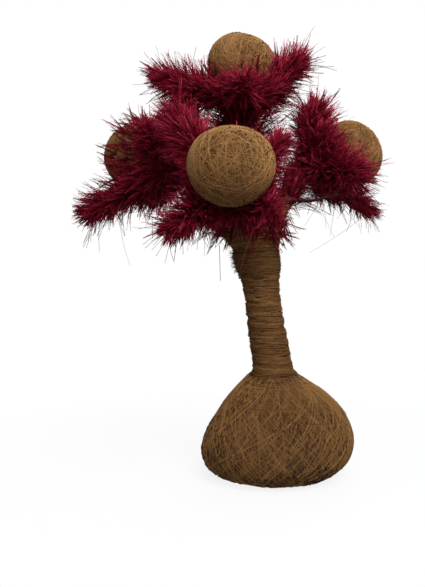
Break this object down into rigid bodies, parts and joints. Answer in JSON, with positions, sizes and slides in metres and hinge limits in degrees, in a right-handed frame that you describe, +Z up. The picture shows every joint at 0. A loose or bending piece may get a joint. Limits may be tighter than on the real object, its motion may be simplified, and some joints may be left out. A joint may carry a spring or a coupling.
{
  "type": "wound fibre tree ornament",
  "caption": "Tabletop tree ornament wound in plant fibre: a weighted dome base, a leaning trunk and wire branches that end in fibre-wound balls with shaggy burgundy petals.",
  "frame": {"origin": "centre of the flat foot under the base", "axes": "+Z up, +X to the viewer's right, +Y away from the viewer who sees the largest flower pointing at them"},
  "size_m": [0.2604, 0.212, 0.3877],
  "materials": {
    "fibre": "matte",
    "pile": "matte",
    "weight": "matte",
    "stick": "matte",
    "paper": "matte",
    "branch_wire": "satin",
    "spine_wire": "satin"
  },
  "bodies": {
    "root": {"base_weight": "weight", "base_winding": "fibre", "trunk_stick": "stick", "trunk_winding": "fibre", "collar_winding": "fibre", "stem_wire_top": "branch_wire", "stem_winding_top": "fibre", "stem_pile_top": "pile", "ball_core_top": "paper", "ball_winding_top": "fibre", "petal_top_1": "pile", "petal_wire_top_1": "spine_wire", "petal_top_2": "pile", "petal_wire_top_2": "spine_wire", "petal_top_3": "pile", "petal_wire_top_3": "spine_wire", "petal_top_4": "pile", "petal_wire_top_4": "spine_wire", "stem_wire_front": "branch_wire", "stem_winding_front": "fibre", "stem_pile_front": "pile", "ball_core_front": "paper", "ball_winding_front": "fibre", "petal_front_1": "pile", "petal_wire_front_1": "spine_wire", "petal_front_2": "pile", "petal_wire_front_2": "spine_wire", "petal_front_3": "pile", "petal_wire_front_3": "spine_wire", "petal_front_4": "pile", "petal_wire_front_4": "spine_wire", "stem_wire_left": "branch_wire", "stem_winding_left": "fibre", "stem_pile_left": "pile", "ball_core_left": "paper", "ball_winding_left": "fibre", "petal_left_1": "pile", "petal_wire_left_1": "spine_wire", "petal_left_2": "pile", "petal_wire_left_2": "spine_wire", "petal_left_3": "pile", "petal_wire_left_3": "spine_wire", "petal_left_4": "pile", "petal_wire_left_4": "spine_wire", "stem_wire_right": "branch_wire", "stem_winding_right": "fibre", "stem_pile_right": "pile", "ball_core_right": "paper", "ball_winding_right": "fibre", "petal_right_1": "pile", "petal_wire_right_1": "spine_wire", "petal_right_2": "pile", "petal_wire_right_2": "spine_wire", "petal_right_3": "pile", "petal_wire_right_3": "spine_wire", "petal_right_4": "pile", "petal_wire_right_4": "spine_wire", "bare_spine": "spine_wire"}
  },
  "joints": []
}
